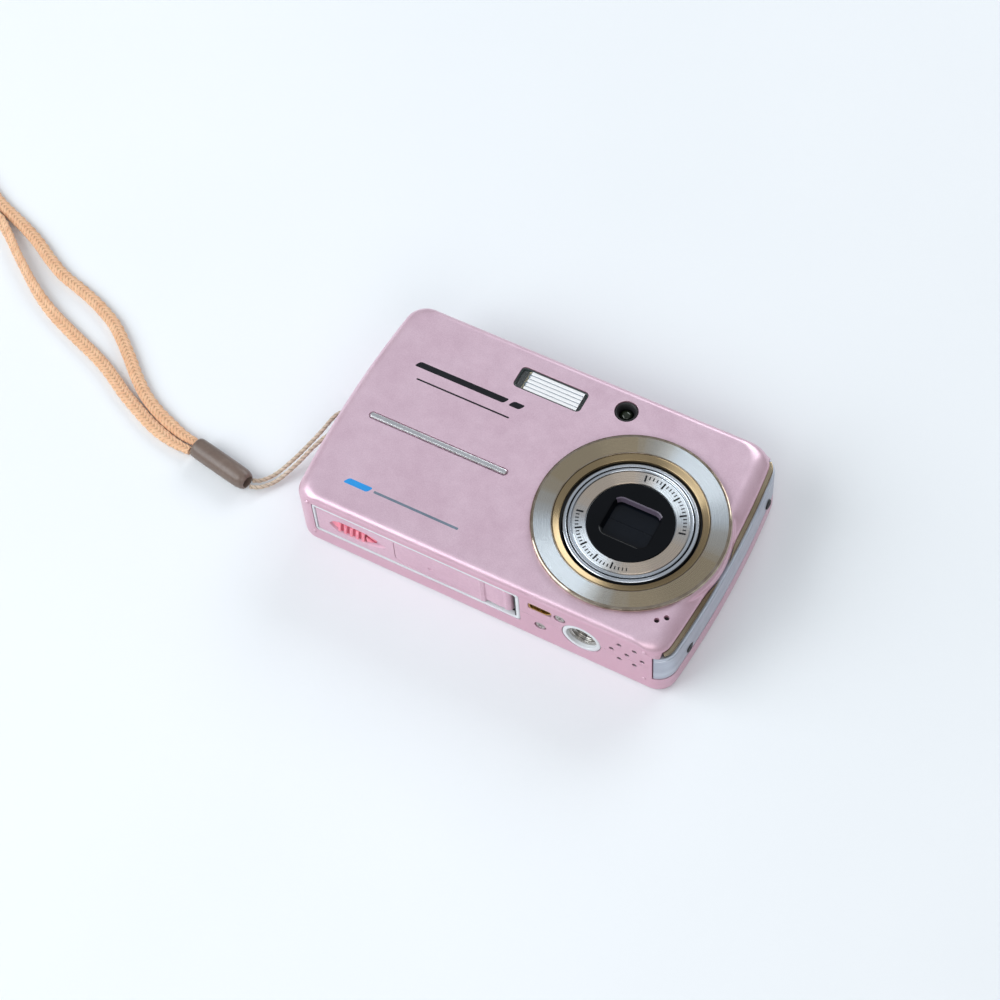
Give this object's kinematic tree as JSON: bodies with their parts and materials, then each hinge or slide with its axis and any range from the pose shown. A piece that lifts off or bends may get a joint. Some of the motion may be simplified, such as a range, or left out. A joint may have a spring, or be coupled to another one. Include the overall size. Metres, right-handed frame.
{
  "type": "compact digital camera",
  "caption": "Slim compact digital camera with an extending zoom lens in a round spun-metal ring, hinged battery door, sprung keys and a braided wrist strap.",
  "frame": {"origin": "on the surface under the middle of the body, which lies on its flat rear face", "axes": "+X along the width towards the lens side, +Y towards the side with the shutter button, +Z out of the lens"},
  "size_m": [0.2324, 0.057, 0.0205],
  "materials": {
    "pink_shell": "satin metallic pink",
    "door_pink": "satin pink plastic",
    "silver_trim": "satin silver",
    "bronze_trim": "dark polished band",
    "ring_bronze": "warm satin band",
    "accent_chrome": "polished",
    "flash_lens": "clear ribbed",
    "flash_mirror": "bright reflector",
    "flash_tube_glass": "clear tube",
    "black_plastic": "matte black",
    "light_grey_plastic": "fine matte light grey",
    "steel_parts": "plain steel",
    "gold_contacts": "gold plated",
    "screen_glass": "glossy black window",
    "screen_module": "grey module",
    "circuit_board": "green solder mask",
    "battery_wrap": "grey wrap",
    "card_plastic": "dark blue plastic",
    "eyelet_metal": "satin silver",
    "focus_lamp": "smoked lamp lens",
    "bright_screws": "bright zinc",
    "black_screws": "black oxide",
    "coral_plastic": "coral pink plastic",
    "chrome_keys": "polished keys",
    "spun_ring": "circular spun metal",
    "barrel_metal": "satin silver barrel",
    "spun_faceplate": "circular spun metal",
    "black_gloss": "glossy black",
    "blade_black": "satin black",
    "optical_glass": "coated glass",
    "sensor_chip": "sensor window",
    "thin_cord": "fine beige cord",
    "ferrule_plastic": "taupe satin plastic",
    "braid": "flat peach braid"
  },
  "bodies": {
    "root": {"front_cover": "pink_shell", "rear_cover": "pink_shell", "side_trim": "silver_trim", "trim_band_upper": "bronze_trim", "trim_band_lower": "bronze_trim", "lens_ring_insert": "ring_bronze", "accent_bar": "accent_chrome", "flash_window": "flash_lens", "flash_reflector": "flash_mirror", "flash_tube": "flash_tube_glass", "flash_capacitor": "black_plastic", "battery_bay": "black_plastic", "speaker": "black_plastic", "focus_lamp_bezel": "black_plastic", "lens_housing": "black_plastic", "door_frame": "light_grey_plastic", "tripod_socket": "light_grey_plastic", "door_hinge_pin": "steel_parts", "chassis_plate": "steel_parts", "card_socket": "steel_parts", "microphone": "steel_parts", "zoom_motor": "steel_parts", "usb_connector": "gold_contacts", "battery_terminals": "gold_contacts", "display_window": "screen_glass", "display_module": "screen_module", "main_board": "circuit_board", "button_board": "circuit_board", "rear_key_board": "circuit_board", "sensor_board": "circuit_board", "battery_pack": "battery_wrap", "memory_card": "card_plastic", "strap_eyelet": "eyelet_metal", "focus_lamp_lens": "focus_lamp", "bottom_screw_rear": "bright_screws", "bottom_screw_front": "bright_screws", "side_screw_lower": "black_screws", "side_screw_upper": "black_screws", "lens_ring": "spun_ring", "image_sensor": "sensor_chip", "strap_loop": "thin_cord", "strap_ferrule": "ferrule_plastic", "wrist_strap": "braid"},
    "cam_ring": {"cam_ring": "black_plastic"},
    "outer_barrel": {"outer_barrel": "barrel_metal"},
    "inner_barrel": {"inner_barrel": "barrel_metal", "lens_faceplate": "spun_faceplate", "barrier_bezel": "black_gloss", "lens_cell": "black_plastic", "front_element": "optical_glass"},
    "barrier_blade_upper": {"barrier_blade_upper": "blade_black"},
    "barrier_blade_lower": {"barrier_blade_lower": "blade_black"},
    "battery_door": {"battery_door": "door_pink"},
    "latch_slider": {"latch_slider": "coral_plastic"},
    "shutter_button": {"shutter_button": "chrome_keys"},
    "power_button": {"power_button": "chrome_keys"},
    "zoom_rocker": {"zoom_rocker": "chrome_keys"},
    "play_button": {"play_button": "chrome_keys"},
    "menu_button": {"menu_button": "chrome_keys"}
  },
  "joints": [
    {"name": "lens_extend", "type": "slide", "parent": "root", "child": "outer_barrel", "axis": [0, 0, 1], "range_m": [0, 0.0075]},
    {"name": "inner_barrel_extend", "type": "slide", "parent": "outer_barrel", "child": "inner_barrel", "axis": [0, 0, 1], "range_m": [0, 0.0071]},
    {"name": "cam_ring_turn", "type": "hinge", "parent": "root", "child": "cam_ring", "pos_m": [0.0246, -0.0026, 0.014], "axis": [0, 0, 1], "range_deg": [0, 112]},
    {"name": "barrier_upper_open", "type": "slide", "parent": "inner_barrel", "child": "barrier_blade_upper", "axis": [0, 1, 0], "range_m": [0, 0.0052]},
    {"name": "barrier_lower_open", "type": "slide", "parent": "inner_barrel", "child": "barrier_blade_lower", "axis": [0, -1, 0], "range_m": [0, 0.0052]},
    {"name": "battery_door_hinge", "type": "hinge", "parent": "root", "child": "battery_door", "pos_m": [0.0074, -0.02655, 0.0111], "axis": [0, 0, 1], "range_deg": [0, 95]},
    {"name": "latch_slide", "type": "slide", "parent": "battery_door", "child": "latch_slider", "axis": [1, 0, 0], "range_m": [0, 0.002]},
    {"name": "shutter_press", "type": "slide", "parent": "root", "child": "shutter_button", "axis": [0, -1, 0], "range_m": [0, 0.0006], "stiffness_N_per_m": 400},
    {"name": "power_press", "type": "slide", "parent": "root", "child": "power_button", "axis": [0, -1, 0], "range_m": [0, 0.0004], "stiffness_N_per_m": 400},
    {"name": "zoom_rock", "type": "hinge", "parent": "root", "child": "zoom_rocker", "pos_m": [-0.035, 0.0214, 0.0015], "axis": [0, 1, 0], "range_deg": [-3, 3], "stiffness_Nm_per_rad": 0.05},
    {"name": "play_press", "type": "slide", "parent": "root", "child": "play_button", "axis": [0, 0, 1], "range_m": [0, 0.0004], "stiffness_N_per_m": 400},
    {"name": "menu_press", "type": "slide", "parent": "root", "child": "menu_button", "axis": [0, 0, 1], "range_m": [0, 0.0004], "stiffness_N_per_m": 400}
  ],
  "couplings": [
    {"joint": "inner_barrel_extend", "follows": "lens_extend", "ratio": 0.9333},
    {"joint": "cam_ring_turn", "follows": "lens_extend", "rad_per_m": 256},
    {"joint": "barrier_lower_open", "follows": "barrier_upper_open", "ratio": 1}
  ]
}
